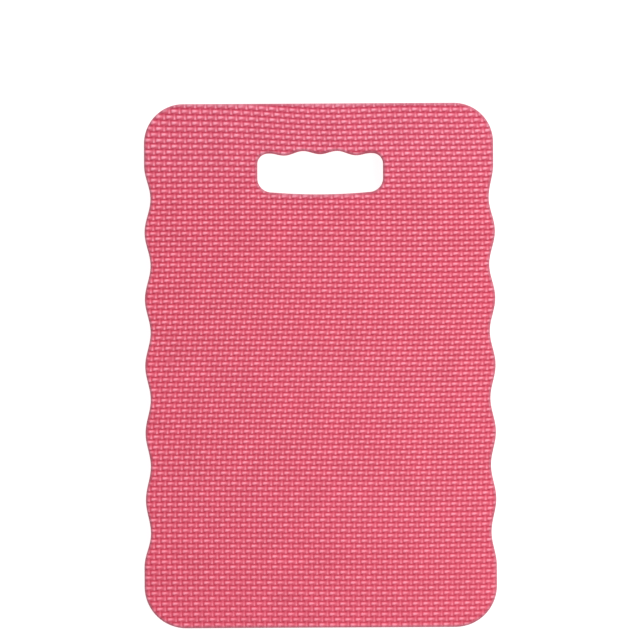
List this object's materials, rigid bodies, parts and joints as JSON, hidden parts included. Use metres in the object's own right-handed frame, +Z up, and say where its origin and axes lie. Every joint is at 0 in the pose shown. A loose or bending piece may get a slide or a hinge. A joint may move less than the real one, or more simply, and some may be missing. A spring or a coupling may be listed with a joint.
{
  "type": "kneeling pad",
  "caption": "Flat rectangular foam kneeling pad with an embossed basket-weave face, wavy long sides, rounded corners and a hand slot with finger hollows near one end.",
  "frame": {"origin": "centre of the pad's underside, at the middle of its length and width", "axes": "+Y along the pad towards the end with the hand slot, +X across the pad, +Z up out of the kneeling face"},
  "size_m": [0.2824, 0.42, 0.02],
  "materials": {
    "top_foam": "closed-cell EVA foam with a satin moulded skin, embossed basket weave on the upper face, matt where it is cut",
    "bottom_foam": "closed-cell EVA foam with a satin moulded skin, embossed basket weave on the lower face, matt where it is cut"
  },
  "bodies": {
    "root": {"top_foam_ply": "top_foam", "bottom_foam_ply": "bottom_foam"}
  },
  "joints": []
}
